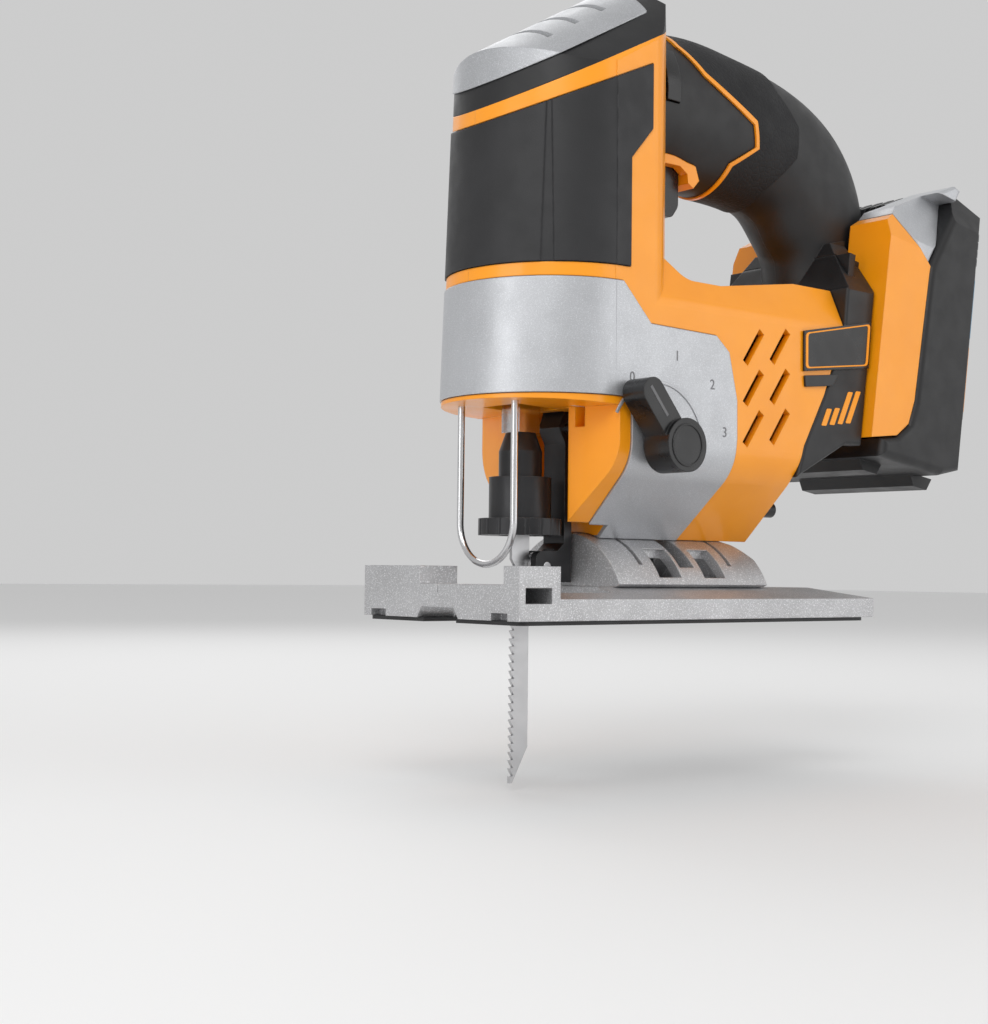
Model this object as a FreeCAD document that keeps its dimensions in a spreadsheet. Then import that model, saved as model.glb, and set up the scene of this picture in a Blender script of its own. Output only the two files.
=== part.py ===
import FreeCAD, Part
import Sketcher
import math
import os
import re

Vector = FreeCAD.Vector
Rotation = FreeCAD.Rotation
Placement = FreeCAD.Placement

# Cordless jigsaw. Millimetres. The origin is where the blade's axis meets the sole plane.
# The tool's front is -X, its battery is +X, the selector knob's side is -Y, and up is +Z.

SIZES = {
    # shoe
    "shoe_front": -32.0,
    "shoe_rear": 127.5,
    "shoe_half": 38.0,
    "shoe_edge_top": 7.5,
    "shoe_top": 11.0,
    "shoe_ridge": 22.0,
    "rail_top": 16.9,
    "sole_cover": 1.2,
    "guide_slot_width": 10.0,
    "guide_slot_height": 4.5,
    # bevel joint, turned about the X axis at sole level
    "bevel_radius": 28.0,
    "bevel_wall": 3.5,
    "seat_gap": 0.3,
    # head and body
    "head_radius": 33.0,
    "head_centre": 10.0,
    "head_lean": -2.15,
    "body_half": 33.0,
    "body_bottom": 26.0,
    "wall": 2.6,
    "skin": 1.2,
    "nose_base": 68.7,
    "nose_floor": 66.0,
    "channel_half": 14.5,
    "crown_radius": 39.2,
    "crown_slope": 31.0,
    # drive
    "motor_radius": 21.0,
    "motor_height": 78.0,
    "gear_height": 105.0,
    "gear_module": 0.9,
    "pinion_teeth": 12.0,
    "gear_teeth": 48.0,
    "crank_throw": 10.0,
    "plunger_side": 8.5,
    "shaft_radius": 2.5,
    # blade clamp and blade
    "clamp_bottom": 26.6,
    "collar_radius": 9.75,
    "flange_radius": 13.0,
    "sleeve_radius": 6.75,
    "blade_width": 7.0,
    "blade_thickness": 1.2,
    "blade_tip": -50.0,
    "tooth_pitch": 2.5,
    "tooth_depth": 1.3,
    "guard_wire": 1.1,
    "guard_x": -13.4,
    "guard_half": 13.0,
    "rocker_x": 16.0,
    "rocker_z": 61.0,
    # selector knob
    "knob_x": 27.0,
    "knob_z": 54.0,
    "knob_radius": 8.2,
    # battery, in its own leaning frame
    "battery_lean": 8.5,
    "battery_x": 128.6,
    "battery_z": 70.3,
    "battery_half": 38.0,
    "cell_radius": 9.1,
    "cell_length": 65.0,
    "cell_count": 5.0,
}

doc = FreeCAD.newDocument("CordlessJigsaw")
sheet = doc.addObject("Spreadsheet::Sheet", "Sizes")
for row, (alias, number) in enumerate(SIZES.items(), start=1):
    sheet.set(f"A{row}", alias)
    sheet.set(f"B{row}", str(number))
    sheet.setAlias(f"B{row}", alias)
doc.recompute()

NODES = []
ALIAS = re.compile(r"(?<![\w.])(" + "|".join(SIZES) + r")\b")


# ---------------------------------------------------------------- helpers

def formula(amount):
    """A number or a text in the sheet's names, as a FreeCAD expression."""
    return ALIAS.sub(r"Sizes.\1", str(amount))


def number(amount):
    """The value of such a text, in millimetres or degrees."""
    if isinstance(amount, (int, float)):
        return float(amount)
    return float(sheet.evalExpression(ALIAS.sub(r"\1", amount)))


def bind(thing, prop, amount):
    if isinstance(amount, str):
        thing.setExpression(prop, formula(amount))
    else:
        path = prop.split(".")
        if len(path) == 1:
            setattr(thing, prop, amount)


def place(thing, x, y, z, turn=None):
    base = Vector(number(x), number(y), number(z))
    thing.Placement = Placement(base, turn or Rotation())
    for axis, amount in zip("xyz", (x, y, z)):
        bind(thing, f"Placement.Base.{axis}", amount)


ALONG = {
    "X": Rotation(Vector(0, 1, 0), 90),
    "Y": Rotation(Vector(1, 0, 0), -90),
    "Z": Rotation(),
}


def box(name, x, y, z, length, width, height, turn=None):
    block = doc.addObject("Part::Box", name)
    bind(block, "Length", length)
    bind(block, "Width", width)
    bind(block, "Height", height)
    place(block, x, y, z, turn)
    return block


def rod(name, radius, length, x, y, z, axis="Z", turn=None):
    cylinder = doc.addObject("Part::Cylinder", name)
    bind(cylinder, "Radius", radius)
    bind(cylinder, "Height", length)
    place(cylinder, x, y, z, turn or ALONG[axis])
    return cylinder


def taper(name, radius_low, radius_high, length, x, y, z, axis="Z"):
    cone = doc.addObject("Part::Cone", name)
    bind(cone, "Radius1", radius_low)
    bind(cone, "Radius2", radius_high)
    bind(cone, "Height", length)
    place(cone, x, y, z, ALONG[axis])
    return cone


def fuse(name, *pieces):
    union = doc.addObject("Part::MultiFuse", name)
    union.Shapes = list(pieces)
    union.Refine = True
    return union


def common(name, *pieces):
    meeting = doc.addObject("Part::MultiCommon", name)
    meeting.Shapes = list(pieces)
    meeting.Refine = True
    return meeting


def cut(name, base, *tools):
    tool = tools[0]
    if len(tools) > 1:
        tool = fuse(name + "_tools", *tools)
    rest = doc.addObject("Part::Cut", name)
    rest.Base = base
    rest.Tool = tool
    rest.Refine = True
    return rest


PLANES = {"XY": "XY_Plane", "XZ": "XZ_Plane", "YZ": "YZ_Plane"}


def outline_sketch(body, plane, points, offset):
    sketch = body.newObject("Sketcher::SketchObject", body.Name + "_outline")
    origin = [item for item in body.Origin.OriginFeatures if item.Role == PLANES[plane]][0]
    sketch.AttachmentSupport = [(origin, "")]
    sketch.MapMode = "FlatFace"
    bind(sketch, "AttachmentOffset.Base.z", formula(offset))
    corners = [Vector(number(a), number(b), 0) for a, b in points]
    count = len(corners)
    for index in range(count):
        edge = Part.LineSegment(corners[index], corners[(index + 1) % count])
        sketch.addGeometry(edge, False)
    rules = []
    for index in range(count):
        rules.append(Sketcher.Constraint("Coincident", index, 2, (index + 1) % count, 1))
    sketch.addConstraint(rules)
    for index, (a, b) in enumerate(points):
        for kind, amount, value in (("DistanceX", a, corners[index].x),
                                    ("DistanceY", b, corners[index].y)):
            rule = sketch.addConstraint(Sketcher.Constraint(kind, -1, 1, index, 1, value))
            if isinstance(amount, str):
                sketch.setExpression(f"Constraints[{rule}]", formula(amount))
    return sketch


def prism(name, plane, points, low, high, rounds=(), rim=None):
    """A padded outline from low to high along the plane's normal.
    rounds is a list of (radius, [corner points]) for the edges along that normal,
    and rim is a radius for the outlines of its two end faces."""
    body = doc.addObject("PartDesign::Body", name)
    offset = f"-({high})" if plane == "XZ" else f"{low}"
    sketch = outline_sketch(body, plane, points, offset)
    pad = body.newObject("PartDesign::Pad", name + "_pad")
    pad.Profile = sketch
    pad.setExpression("Length", formula(f"({high}) - ({low})"))
    doc.recompute()
    last = pad
    for index, (radius, corners) in enumerate(rounds):
        edges = edges_at(last.Shape, plane, corners)
        round_off = body.newObject("PartDesign::Fillet", f"{name}_round{index}")
        round_off.Base = (last, edges)
        bind(round_off, "Radius", radius)
        doc.recompute()
        last = round_off
    if rim is not None:
        along = {"XY": 2, "XZ": 1, "YZ": 0}[plane]
        ends = [f"Face{index}" for index, face in enumerate(last.Shape.Faces, start=1)
                if face.Surface.TypeId == "Part::GeomPlane"
                and abs(abs(face.normalAt(0, 0)[along]) - 1) < 1e-6]
        rim_round = body.newObject("PartDesign::Fillet", name + "_rim")
        rim_round.Base = (last, ends)
        bind(rim_round, "Radius", rim)
        doc.recompute()
        last = rim_round
    body.Tip = last
    return body


def edges_at(shape, plane, corners):
    """Names of the straight edges along the plane's normal through the given corners."""
    first, second, along = {"XY": (0, 1, 2), "XZ": (0, 2, 1), "YZ": (1, 2, 0)}[plane]
    wanted = [(number(a), number(b)) for a, b in corners]
    names = []
    for index, edge in enumerate(shape.Edges, start=1):
        ends = [vertex.Point for vertex in edge.Vertexes]
        if len(ends) != 2 or abs(ends[0][along] - ends[1][along]) < 0.5:
            continue
        if max(abs(ends[0][k] - ends[1][k]) for k in (first, second)) > 0.01:
            continue
        for a, b in wanted:
            if abs(ends[0][first] - a) < 0.02 and abs(ends[0][second] - b) < 0.02:
                names.append(f"Edge{index}")
    return names


def node(piece, label):
    piece.Label = label
    NODES.append(piece)
    return piece


def solid(label, shape, x=0.0, y=0.0, z=0.0, turn=None):
    """A node whose shape is set by Part's own functions."""
    feature = doc.addObject("Part::Feature", label)
    feature.Shape = shape
    feature.Placement = Placement(Vector(x, y, z), turn or Rotation())
    return node(feature, label)


def mirrored(points):
    """An outline that is symmetric in its first coordinate, from its positive half."""
    return points + [(f"-({a})", b) for a, b in reversed(points)]


# ---------------------------------------------------------------- shoe

def make_shoe():
    section = mirrored([
        ("shoe_half", "sole_cover"),
        ("shoe_half", "shoe_edge_top"),
        ("shoe_ridge", "shoe_top"),
    ])
    plate = prism("shoe_plate", "YZ", section, "shoe_front", "shoe_rear")
    near_block = box("near_block", "shoe_front", "-shoe_half", 3.0, 15.5, 7.0, "rail_top - 3")
    far_block = box("far_block", "shoe_front", 9.0, 3.0, 14.5, "shoe_half - 9", "rail_top - 3")
    front_rail = box("front_rail", "shoe_front", -32.0, 3.0, 14.5, 42.0, 8.5)
    solid_shoe = fuse("shoe_solid", plate, near_block, far_block, front_rail)
    opening = prism("shoe_opening", "XY", [
        (-17.5, -23.0), (12.0, -23.0), (18.5, -19.0), (18.5, 19.0), (12.0, 23.0), (-17.5, 23.0),
    ], 0.0, 20.0)
    tilt_relief = box("tilt_relief", -17.5, -30.0, 7.0, 29.5, 60.0, 13.0)
    window = box("shoe_window", 36.0, -19.0, 0.0, 38.0, 38.0, 12.0)
    guide_slot = box("guide_slot", -29.7, -40.0, 6.2, "guide_slot_width", 80.0, "guide_slot_height")
    notch_near = box("notch_near", -33.0, -32.8, 0.0, 5.0, 7.5, 3.4)
    notch_far = box("notch_far", -33.0, 26.4, 0.0, 5.0, 8.0, 3.4)
    sight = prism("sight_cut", "YZ", mirrored([(11.0, 0.0), (8.0, 4.5)]), -33.0, -17.0)
    tick = box("tick_mark", -33.0, -0.3, 9.0, 1.4, 0.6, 3.0)
    rear_bevel = prism("rear_bevel", "XZ", [
        ("shoe_rear - 16", "shoe_top + 0.1"), ("shoe_rear + 1", "shoe_edge_top - 0.1"),
        ("shoe_rear + 1", 14.0), ("shoe_rear - 16", 14.0),
    ], -40.0, 40.0)
    node(cut("shoe_cut", solid_shoe, opening, tilt_relief, window, guide_slot, notch_near, notch_far, sight,
             tick, rear_bevel), "shoe")


def make_sole_cover():
    cover = prism("cover_plate", "XY", [
        (-31.0, -37.0), ("shoe_rear - 2", -37.0), ("shoe_rear - 2", 37.0), (-31.0, 37.0),
    ], 0.0, "sole_cover", [(3.0, [(-31.0, -37.0), (-31.0, 37.0)]),
                           (5.0, [("shoe_rear - 2", -37.0), ("shoe_rear - 2", 37.0)])])
    opening = prism("cover_opening", "XY", [
        (-35.0, -8.0), (-17.5, -8.0), (-17.5, -23.0), (12.0, -23.0), (18.5, -19.0),
        (18.5, 19.0), (12.0, 23.0), (-17.5, 23.0), (-17.5, 8.0), (-35.0, 8.0),
    ], -1.0, 2.0)
    window = box("cover_window", 36.0, -19.0, -1.0, 38.0, 38.0, 4.0)
    node(cut("cover_cut", cover, opening, window), "sole_cover")


def bevel_sector(name, radius, start, length, half_angle=65.0):
    """A solid wedge about the bevel axis, open downwards."""
    wedge = doc.addObject("Part::Cylinder", name)
    bind(wedge, "Radius", radius)
    bind(wedge, "Height", length)
    wedge.Angle = 2.0 * half_angle
    about_x = ALONG["X"].multiply(Rotation(Vector(0, 0, 1), 180.0 - half_angle))
    place(wedge, start, 0.0, 0.0, about_x)
    return wedge


def make_bracket():
    outer = bevel_sector("bracket_outer", "bevel_radius", 19.0, 68.0)
    inner = rod("bracket_inner", "bevel_radius - bevel_wall", 80.0, 12.0, 0.0, 0.0, "X")
    shell = cut("bracket_shell", outer, inner)
    end_front = cut("bracket_end_front", bevel_sector("end_front", "bevel_radius", 19.0, 4.0),
                    box("end_front_cut", 10.0, -40.0, -1.0, 80.0, 80.0, "shoe_top + 1"))
    end_rear = cut("bracket_end_rear", bevel_sector("end_rear", "bevel_radius", 83.0, 4.0),
                   box("end_rear_cut", 10.0, -40.0, -1.0, 80.0, 80.0, "shoe_top + 1"))
    slot = bevel_sector("clamp_slot", 40.0, 48.7, 6.6, 52.0)
    rib_slots = [bevel_sector(f"rib_slot{index}", 40.0, place_x, 1.8, 50.0)
                 for index, place_x in enumerate((31.0, 72.0))]
    windows = [box(f"bracket_window{index}", place_x, -30.0, 14.0, 10.0, 16.0, 9.0)
               for index, place_x in enumerate((37.5, 58.0))]
    centre_gap = box("seat_relief", 21.0, -3.5, 12.0, 4.0, 7.0, 40.0)
    rear_bevel = prism("bracket_bevel", "XZ", [
        (88.0, 17.0), (88.0, 32.0), (77.5, 32.0), (77.5, 28.1), (83.5, 25.0), (87.1, 20.0),
    ], -40.0, 40.0)
    floor = box("bracket_floor", 10.0, -40.0, -40.0, 80.0, 80.0, "shoe_top + 40")
    body = fuse("bracket_body", shell, end_front, end_rear)
    node(cut("bracket_cut", body, slot, *rib_slots, *windows, centre_gap, rear_bevel, floor),
         "bevel_bracket")


def make_bevel_screw():
    shank = rod("bevel_shank", 2.9, 12.5, 52.0, 0.0, 23.6)
    head = rod("bevel_head", 5.0, 5.0, 52.0, 0.0, 18.9)
    socket = prism("bevel_socket", "XY", [
        (52.0 + 2.9 * math.cos(math.radians(60 * turn)), 2.9 * math.sin(math.radians(60 * turn)))
        for turn in range(6)
    ], 18.0, 21.6)
    node(cut("bevel_screw_cut", fuse("bevel_screw_body", shank, head), socket), "bevel_screw")


# ---------------------------------------------------------------- outer hulls of the tool

def hull(name, grow):
    """The whole head and motor body, grown outwards by so many millimetres."""
    lean = Rotation(Vector(0, 1, 0), number("-head_lean"))
    nose = rod(name + "_nose", f"head_radius + {grow}", 160.0, "head_centre", 0.0, 66.0, turn=lean)
    block = prism(name + "_block", "XY", [
        (9.0, f"body_half + {grow}"), (f"29 + {grow}", f"body_half + {grow}"),
        (f"42 + {grow}", f"21 + {grow}"), (f"42 + {grow}", f"-21 - {grow}"),
        (f"29 + {grow}", f"-body_half - {grow}"), (9.0, f"-body_half - {grow}"),
    ], "nose_floor", 215.0, [
        (9.0, [(f"29 + {grow}", f"body_half + {grow}"), (f"29 + {grow}", f"-body_half - {grow}")]),
        (5.0, [(f"42 + {grow}", f"21 + {grow}"), (f"42 + {grow}", f"-21 - {grow}")]),
    ])
    roof_turn = Rotation(Vector(0, 1, 0), 90.0 - number("crown_slope"))
    roof = rod(name + "_roof", f"crown_radius + {grow}", 320.0, -143.0, 0.0, 54.4, turn=roof_turn)
    below = box(name + "_below", -143.0, -60.0, 54.4, 300.0, 120.0, 320.0, turn=roof_turn)
    rear_trim = prism(name + "_trim", "XZ", [
        (f"31 + {grow}", 260.0), (f"31 + {grow}", 204.5), (f"42 + {grow}", 186.5),
        (f"42 + {grow}", 60.0), (90.0, 60.0), (90.0, 260.0),
    ], -60.0, 60.0)
    head = cut(name + "_head", common(name + "_head_full", fuse(name + "_head_raw", nose, block),
                                      fuse(name + "_roof_all", roof, below)), rear_trim)
    side = prism(name + "_side", "XZ", [
        (f"7 - {grow}", 20.0), (f"93 + {grow}", 20.0), (f"93 + {grow}", 47.7),
        (f"96.5 + {grow}", 58.5), (f"107 + {grow}", 76.6), (f"118 + {grow}", 102.0),
        (f"119 + {grow}", f"114.5 + {grow}"), (f"99 + {grow}", f"114.5 + {grow}"),
        (f"60 + {grow}", f"108.5 + {grow}"), (f"44 + {grow}", f"108.5 + {grow}"),
        (f"36 + {grow}", 116.0), (f"7 - {grow}", 116.0),
    ], -45.0, 45.0, [(6.0, [(f"118 + {grow}", 102.0), (f"93 + {grow}", 47.7)]),
                     (9.0, [(f"44 + {grow}", f"108.5 + {grow}")])])
    across = prism(name + "_across", "YZ", mirrored([
        (9.7, f"26 - {grow}"), (f"body_half + {grow}", f"49.3 - {grow}"),
        (f"body_half + {grow}", 100.0), (f"25 + {grow}", f"116 + {grow}"),
    ]), 0.0, 140.0, [
        (16.0, [(f"body_half + {grow}", f"49.3 - {grow}"),
                (f"-(body_half + {grow})", f"49.3 - {grow}")]),
        (9.0, [(f"body_half + {grow}", 100.0), (f"-(body_half + {grow})", 100.0)]),
    ])
    flank = prism(name + "_flank", "XY", [
        (f"7 - {grow}", 15.0), (f"14 - {grow}", 45.0), (150.0, 45.0), (150.0, -45.0),
        (f"14 - {grow}", -45.0), (f"7 - {grow}", -15.0),
    ], 0.0, 130.0)
    body = common(name + "_body", side, across, flank)
    return fuse(name, head, body)


def seat_cut():
    return rod("bevel_seat", "bevel_radius + seat_gap", 200.0, -20.0, 0.0, 0.0, "X")


SILVER = [
    (-60.0, 103.2), (12.0, 103.6), (23.8, 91.8), (53.0, 91.1), (59.0, 86.3), (62.8, 71.2),
    (62.9, 58.7), (58.0, 20.0), (16.0, 20.0), (16.0, "nose_base"), (-60.0, "nose_base"),
]
PAD = [
    (-60.0, 107.0), (15.0, 108.5), (15.0, 141.9), (24.0, 152.3), (24.0, 172.6), (-60.0, 133.2),
]
CAP = [(-60.0, 135.0), (60.0, 199.9), (60.0, 240.0), (-60.0, 240.0)]
PLATE = [(-60.0, 141.0), (28.0, 191.4), (34.0, 240.0), (-60.0, 240.0)]
REAR = [
    (93.3, 47.9), (119.0, 60.5), (127.2, 60.5), (137.7, 136.0), (129.0, 134.0), (121.0, 115.5),
    (119.5, 114.8), (118.3, 102.0), (107.3, 76.6), (96.8, 58.5),
]


def region(name, outline):
    return prism(name, "XZ", outline, -60.0, 60.0)


def seam_gap(name, outline, gap):
    """The same region, wider by the gap all round, so that a thin groove stays at its edge."""
    corners = [Vector(number(a), number(b), 0) for a, b in outline + outline[:1]]
    wide = Part.makePolygon(corners).makeOffset2D(gap, 2)
    return region(name, [(point.X, point.Y) for point in wide.OrderedVertexes])


def side_wedges(name, plane, outline, low, high):
    """The same wedge on both sides of the middle plane, given for the +Y side."""
    flip = {"XY": (1, -1), "YZ": (-1, 1)}[plane]
    opposite = [(a * flip[0], b * flip[1]) for a, b in reversed(outline)]
    return [prism(name + "_far", plane, outline, low, high),
            prism(name + "_near", plane, opposite, low, high)]


def halves(name, whole, left, right):
    """Two clamshell halves that meet at the middle plane."""
    near = box(name + "_near_space", -100.0, -100.0, -100.0, 400.0, 100.0, 400.0)
    far = box(name + "_far_space", -100.0, 0.0, -100.0, 400.0, 100.0, 400.0)
    node(common(name + "_near_half", whole, near), left)
    node(common(name + "_far_half", whole, far), right)


def vent_slots():
    """Slanted cooling slots, in two columns, through both sides of the body."""
    slots = []
    lean = Rotation(Vector(0, 1, 0), 36.0)
    for column, (x, z) in enumerate(((66.0, 58.0), (79.0, 59.5))):
        for step in range(3):
            slots.append(box(f"vent{column}_{step}", x, -50.0, z + 13.3 * step,
                             2.9, 100.0, 13.5, turn=lean))
    return slots


def make_housing():
    outer = hull("outer", 0.0)
    cavity = hull("cavity", -2.6)
    floor = box("cavity_floor", -40.0, -50.0, 10.0, 66.5, 100.0, 60.5)
    under = prism("cavity_under", "YZ", [
        (-50.0, 10.0), (50.0, 10.0), (50.0, 36.0), (12.0, 36.0), (8.0, 32.0), (-8.0, 32.0),
        (-12.0, 36.0), (-50.0, 36.0)], 0.0, 140.0)
    hollow = cut("hollow", cavity, floor, under)
    channel = box("channel", -60.0, "-channel_half", 10.0, 84.0, "2 * channel_half", "nose_floor - 10")
    plunger_way = box("plunger_way", -8.5, -8.5, 60.0, 17.0, 17.0, 20.0)
    rocker_way = box("rocker_way", 12.0, -5.5, 60.0, 9.0, 11.0, 20.0)
    shell = cut("shell", outer, hollow, seat_cut(), channel, plunger_way, rocker_way)
    core = hull("core", -1.2)
    band = fuse("insets", seam_gap("silver_space", SILVER, 0.25), seam_gap("pad_space", PAD, 0.25))
    inset = cut("inset_space", band, core)
    cap_space = region("cap_space", CAP)
    handle_hole = box("handle_passage", 34.0, -14.0, 150.0, 20.0, 28.0, 38.0)
    knob_hole = rod("knob_hole", 4.06, 30.0, "knob_x", -40.0, "knob_z", "Y")
    screw_hole = rod("bevel_screw_hole", 2.95, 16.0, 52.0, 0.0, 22.0)
    guard_holes = [rod(f"guard_hole{side}", "guard_wire + 0.02", 13.0, "guard_x", side * 13.0, 60.0)
                   for side in (-1, 1)]
    rocker_pin_hole = rod("rocker_pin_hole", 2.0, 40.0, "rocker_x", -20.0, "rocker_z", "Y")
    lamp_hole = box("lamp_hole", 4.0, -20.5, 60.0, 9.0, 3.5, 8.2)
    leads_hole = box("leads_hole", 90.0, -10.0, 84.0, 40.0, 20.0, 16.0)
    key_hole = rod("key_hole", 2.1, 40.0, 70.0, -8.0, 38.0, "X")
    terminal_room = lean_over(box("terminal_room", -17.3, -14.3, 17.8, 8.0, 28.6, 14.6))
    whole = cut("housing", shell, inset, cap_space, handle_hole, knob_hole, screw_hole,
                *guard_holes, rocker_pin_hole, lamp_hole, leads_hole, key_hole, terminal_room,
                *vent_slots(), *screw_wells())
    halves("housing", whole, "housing_left", "housing_right")
    return outer, core


def make_skins(outer, core):
    proud = hull("proud", 0.5)
    skin = cut("silver_skin", proud, core, seat_cut())
    channel = box("skin_channel", -60.0, "-channel_half", 10.0, 84.0, "2 * channel_half",
                  "nose_floor - 10")
    knob_hole = rod("skin_knob_hole", 4.5, 30.0, "knob_x", -40.0, "knob_z", "Y")
    silver = common("silver_raw", skin, region("silver_region", SILVER))
    node(cut("silver_cut", silver, channel, knob_hole), "gear_case_cover")
    pad_skin = cut("pad_skin", proud, core)
    grooves = [box(f"pad_groove{side}", -13.5, 28.0 * side - 5.0, 90.0, 4.0, 10.0, 90.0)
               for side in (-1, 1)]
    pad_raw = common("pad_raw", pad_skin, region("pad_region", PAD))
    node(cut("pad_cut", pad_raw, *[
        cut(f"pad_groove_cut{index}", groove, outer) for index, groove in enumerate(grooves)]),
        "head_pad")
    plate_space = region("plate_space", PLATE)
    plate_inset = cut("plate_inset", plate_space, core)
    cap_raw = common("cap_raw", outer, region("cap_region", CAP))
    cap_room = prism("cap_room", "XZ", [
        (-11.0, 120.0), (39.0, 120.0), (39.0, 198.0), (-11.0, 168.5),
    ], -20.0, 20.0)
    node(cut("cap_cut", cap_raw, cap_room, plate_inset), "head_cap")
    plate_skin = cut("plate_skin", proud, core)
    plate = common("plate_raw", plate_skin, region("plate_region", PLATE),
                   box("plate_width", -60.0, -26.0, 100.0, 120.0, 52.0, 150.0))
    slots = []
    for index, x in enumerate((-6.0, 5.0, 16.0)):
        slots.append(box(f"plate_slot{index}", x, -18.0, 150.0, 2.2, 40.0, 80.0))
    node(cut("plate_cut", plate, *slots), "top_plate")


# ---------------------------------------------------------------- handle and battery mount

# each: centre x, centre z, lean of the section from vertical, half height, half width
GRIP_SECTIONS = [
    (38.0, 171.5, 0.0, 24.5, 19.5),
    (62.0, 171.7, 0.0, 25.3, 19.0),
    (85.0, 170.6, 2.0, 25.3, 19.0),
    (112.0, 166.5, 13.0, 25.0, 18.5),
    (128.5, 157.0, 38.0, 26.5, 17.5),
    (138.0, 143.0, 62.0, 24.5, 17.0),
    (140.5, 129.0, 84.0, 21.0, 16.5),
    (140.5, 110.0, 90.0, 19.0, 16.5),
]


def grip_loft(name, grow):
    rings = []
    for index, (x, z, lean, tall, wide) in enumerate(GRIP_SECTIONS):
        ring = doc.addObject("Part::Ellipse", f"{name}_ring{index}")
        ring.MajorRadius = tall + grow
        ring.MinorRadius = wide + grow
        place(ring, x, 0.0, z, Rotation(Vector(0, 1, 0), lean - 90.0))
        rings.append(ring)
    loft = doc.addObject("Part::Loft", name)
    loft.Sections = rings
    loft.Solid = True
    return loft


LEAN = Rotation(Vector(0, 1, 0), SIZES["battery_lean"])


def lean_over(piece):
    """Put a piece that was made in the battery's own frame into its leaning place."""
    holder = doc.addObject("Part::Compound", piece.Name + "_leaning")
    holder.Links = [piece]
    place(holder, "battery_x", 0.0, "battery_z", LEAN)
    return holder


def make_handle(outer):
    loft = grip_loft("grip_outer", 0.0)
    inner = grip_loft("grip_inner", -2.8)
    shoulder = side_wedges("shoulder", "YZ", [
        (35.0, 112.0), (17.5, 134.0), (17.5, 145.0), (35.0, 145.0)], 80.0, 150.0)
    mount = cut("mount_shape", prism("mount_body", "XZ", REAR, -33.2, 33.2, rim=1.2), *shoulder)
    solid_frame = fuse("rear_solid", loft, mount)
    pack_low = lean_over(box("pack_low", 0.0, -60.0, -60.0, 80.0, 120.0, 119.8))
    pack_near = lean_over(box("pack_near", 0.0, -60.0, -60.0, 80.0, 41.8, 200.0))
    pack_far = lean_over(box("pack_far", 0.0, 18.2, -60.0, 80.0, 41.8, 200.0))
    pack_rear = lean_over(box("pack_rear", 21.0, -60.0, -60.0, 80.0, 120.0, 160.0))
    channel = lean_over(fuse("rail_channel",
                             box("rail_neck", -10.4, -24.3, -40.0, 12.0, 48.6, 98.0),
                             box("rail_wings", -10.4, -28.3, 34.0, 3.9, 56.6, 24.0),
                             box("rail_mouth", -10.4, -28.3, -40.0, 12.0, 56.6, 75.0),
                             box("latch_pocket", -4.4, -8.4, 50.0, 6.0, 16.8, 21.0)))
    mount_hollow = prism("mount_hollow", "XZ", [
        (101.5, 62.5), (112.5, 63.5), (117.0, 89.0), (114.5, 89.0), (109.5, 77.0),
    ], -24.0, 24.0)
    leads_way = box("leads_way", 90.0, -10.0, 84.0, 26.0, 20.0, 16.0)
    terminal_way = lean_over(box("terminal_way", -17.3, -14.3, 17.8, 8.0, 28.6, 14.6))
    trigger_pocket = box("trigger_pocket", 44.2, -8.6, 130.0, 17.1, 17.2, 38.3)
    pocket_mouth = box("pocket_mouth", 44.2, -10.5, 140.0, 18.2, 21.0, 11.5)
    bezel = prism("bezel_space", "XZ", BEZEL, -12.2, 12.2)
    button_slot = box("button_slot", 43.2, -40.0, 168.2, 6.6, 80.0, 18.1)
    whole = cut("rear_frame", solid_frame, outer, inner, pack_low, pack_near, pack_far,
                pack_rear, channel,
                mount_hollow, leads_way, terminal_way, trigger_pocket, pocket_mouth, bezel, button_slot,
                *screw_wells())
    grip_skin = cut("grip_skin", grip_loft("grip_proud", 0.7), grip_loft("grip_core", -1.0))
    rubber = common("grip_rubber", grip_skin, prism("grip_region", "XZ", GRIP, -60.0, 60.0))
    piping = common("grip_pipe", grip_skin, prism("piping_region", "XZ", PIPING, -60.0, 60.0))
    skin_space = prism("skin_space", "XZ", PIPING[:7] + GRIP[5:11], -60.0, 60.0)
    room = cut("grip_room", skin_space, grip_loft("grip_bed", -1.0))
    halves("handle", cut("rear_frame_cut", whole, room), "handle_left", "handle_right")
    node(rubber, "handle_grip")
    node(piping, "grip_piping")
    button_block = box("button_block", 43.5, -25.0, 168.5, 6.0, 50.0, 17.5)
    node(common("lock_button_cut", button_block, grip_loft("button_form", 0.9)), "lock_off_button")
    trigger = prism("trigger_body", "XZ", [
        (44.5, 161.0), (44.5, 134.0), (58.0, 134.0), (61.0, 138.0), (61.0, 161.0),
    ], -8.3, 8.3, [(2.5, [(58.0, 134.0), (44.5, 134.0)]), (4.0, [(61.0, 138.0)])])
    node(trigger, "trigger")
    bezel_body = prism("bezel_body", "XZ", BEZEL, -12.0, 12.0)
    bezel_hole = box("bezel_hole", 44.2, -8.6, 130.0, 17.1, 17.2, 38.3)
    node(cut("bezel_cut", bezel_body, bezel_hole, grip_loft("bezel_core", -2.8)), "trigger_bezel")
    switch = box("switch_box", 51.0, -9.0, 168.6, 32.0, 18.0, 15.0)
    stem = box("switch_stem", 56.0, -3.0, 168.0, 4.0, 6.0, 2.0)
    node(fuse("switch_body", switch, stem), "switch_module")
    board = box("control_pcb", 88.0, -11.0, 170.0, 22.0, 22.0, 1.6)
    chip = box("control_chip", 92.0, -6.0, 171.6, 12.0, 12.0, 3.0)
    node(fuse("control_body", board, chip), "control_board")


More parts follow.
